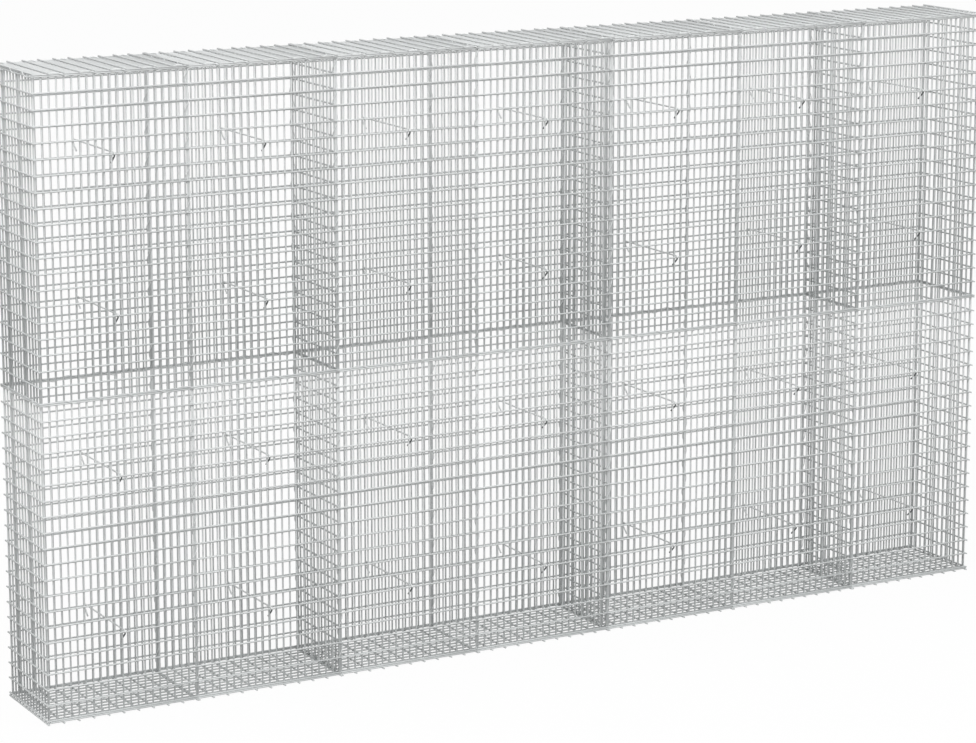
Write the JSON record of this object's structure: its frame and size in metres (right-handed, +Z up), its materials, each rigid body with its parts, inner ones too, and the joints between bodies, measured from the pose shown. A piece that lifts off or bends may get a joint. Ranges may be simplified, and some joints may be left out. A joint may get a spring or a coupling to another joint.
{
  "type": "gabion wall",
  "caption": "Empty tiered gabion wall of welded wire mesh panels with closed covers, inner partitions, hooked cross ties and spiral binders.",
  "frame": {"origin": "middle of the wall's underside", "axes": "+X along the wall, +Y from its front to its back, +Z up"},
  "size_m": [3.5, 0.3412, 2],
  "materials": {
    "mesh_wire": "zinc-galvanised wire, light grey, dull satin",
    "tie_wire": "zinc-galvanised wire, light grey, dull satin",
    "binder_wire": "zinc-galvanised wire, light grey, dull satin"
  },
  "bodies": {
    "root": {"back_lower_bay_1": "mesh_wire", "back_lower_bay_2": "mesh_wire", "back_lower_bay_3": "mesh_wire", "back_lower_bay_4": "mesh_wire", "back_upper_bay_1": "mesh_wire", "back_upper_bay_2": "mesh_wire", "back_upper_bay_3": "mesh_wire", "back_upper_bay_4": "mesh_wire", "base_bay_1": "mesh_wire", "base_bay_2": "mesh_wire", "base_bay_3": "mesh_wire", "base_bay_4": "mesh_wire", "binder_middle_back": "binder_wire", "binder_middle_front": "binder_wire", "cover_bay_1": "mesh_wire", "cover_bay_2": "mesh_wire", "cover_bay_3": "mesh_wire", "cover_bay_4": "mesh_wire", "front_lower_bay_1": "mesh_wire", "front_lower_bay_2": "mesh_wire", "front_lower_bay_3": "mesh_wire", "front_lower_bay_4": "mesh_wire", "front_upper_bay_1": "mesh_wire", "front_upper_bay_2": "mesh_wire", "front_upper_bay_3": "mesh_wire", "front_upper_bay_4": "mesh_wire", "left_end_lower": "mesh_wire", "left_end_upper": "mesh_wire", "partition_1_lower": "mesh_wire", "partition_1_upper": "mesh_wire", "partition_2_lower": "mesh_wire", "partition_2_upper": "mesh_wire", "partition_3_lower": "mesh_wire", "partition_3_upper": "mesh_wire", "right_end_lower": "mesh_wire", "right_end_upper": "mesh_wire", "ties_lower_high": "tie_wire", "ties_lower_low": "tie_wire", "ties_upper_high": "tie_wire", "ties_upper_low": "tie_wire"}
  },
  "joints": []
}
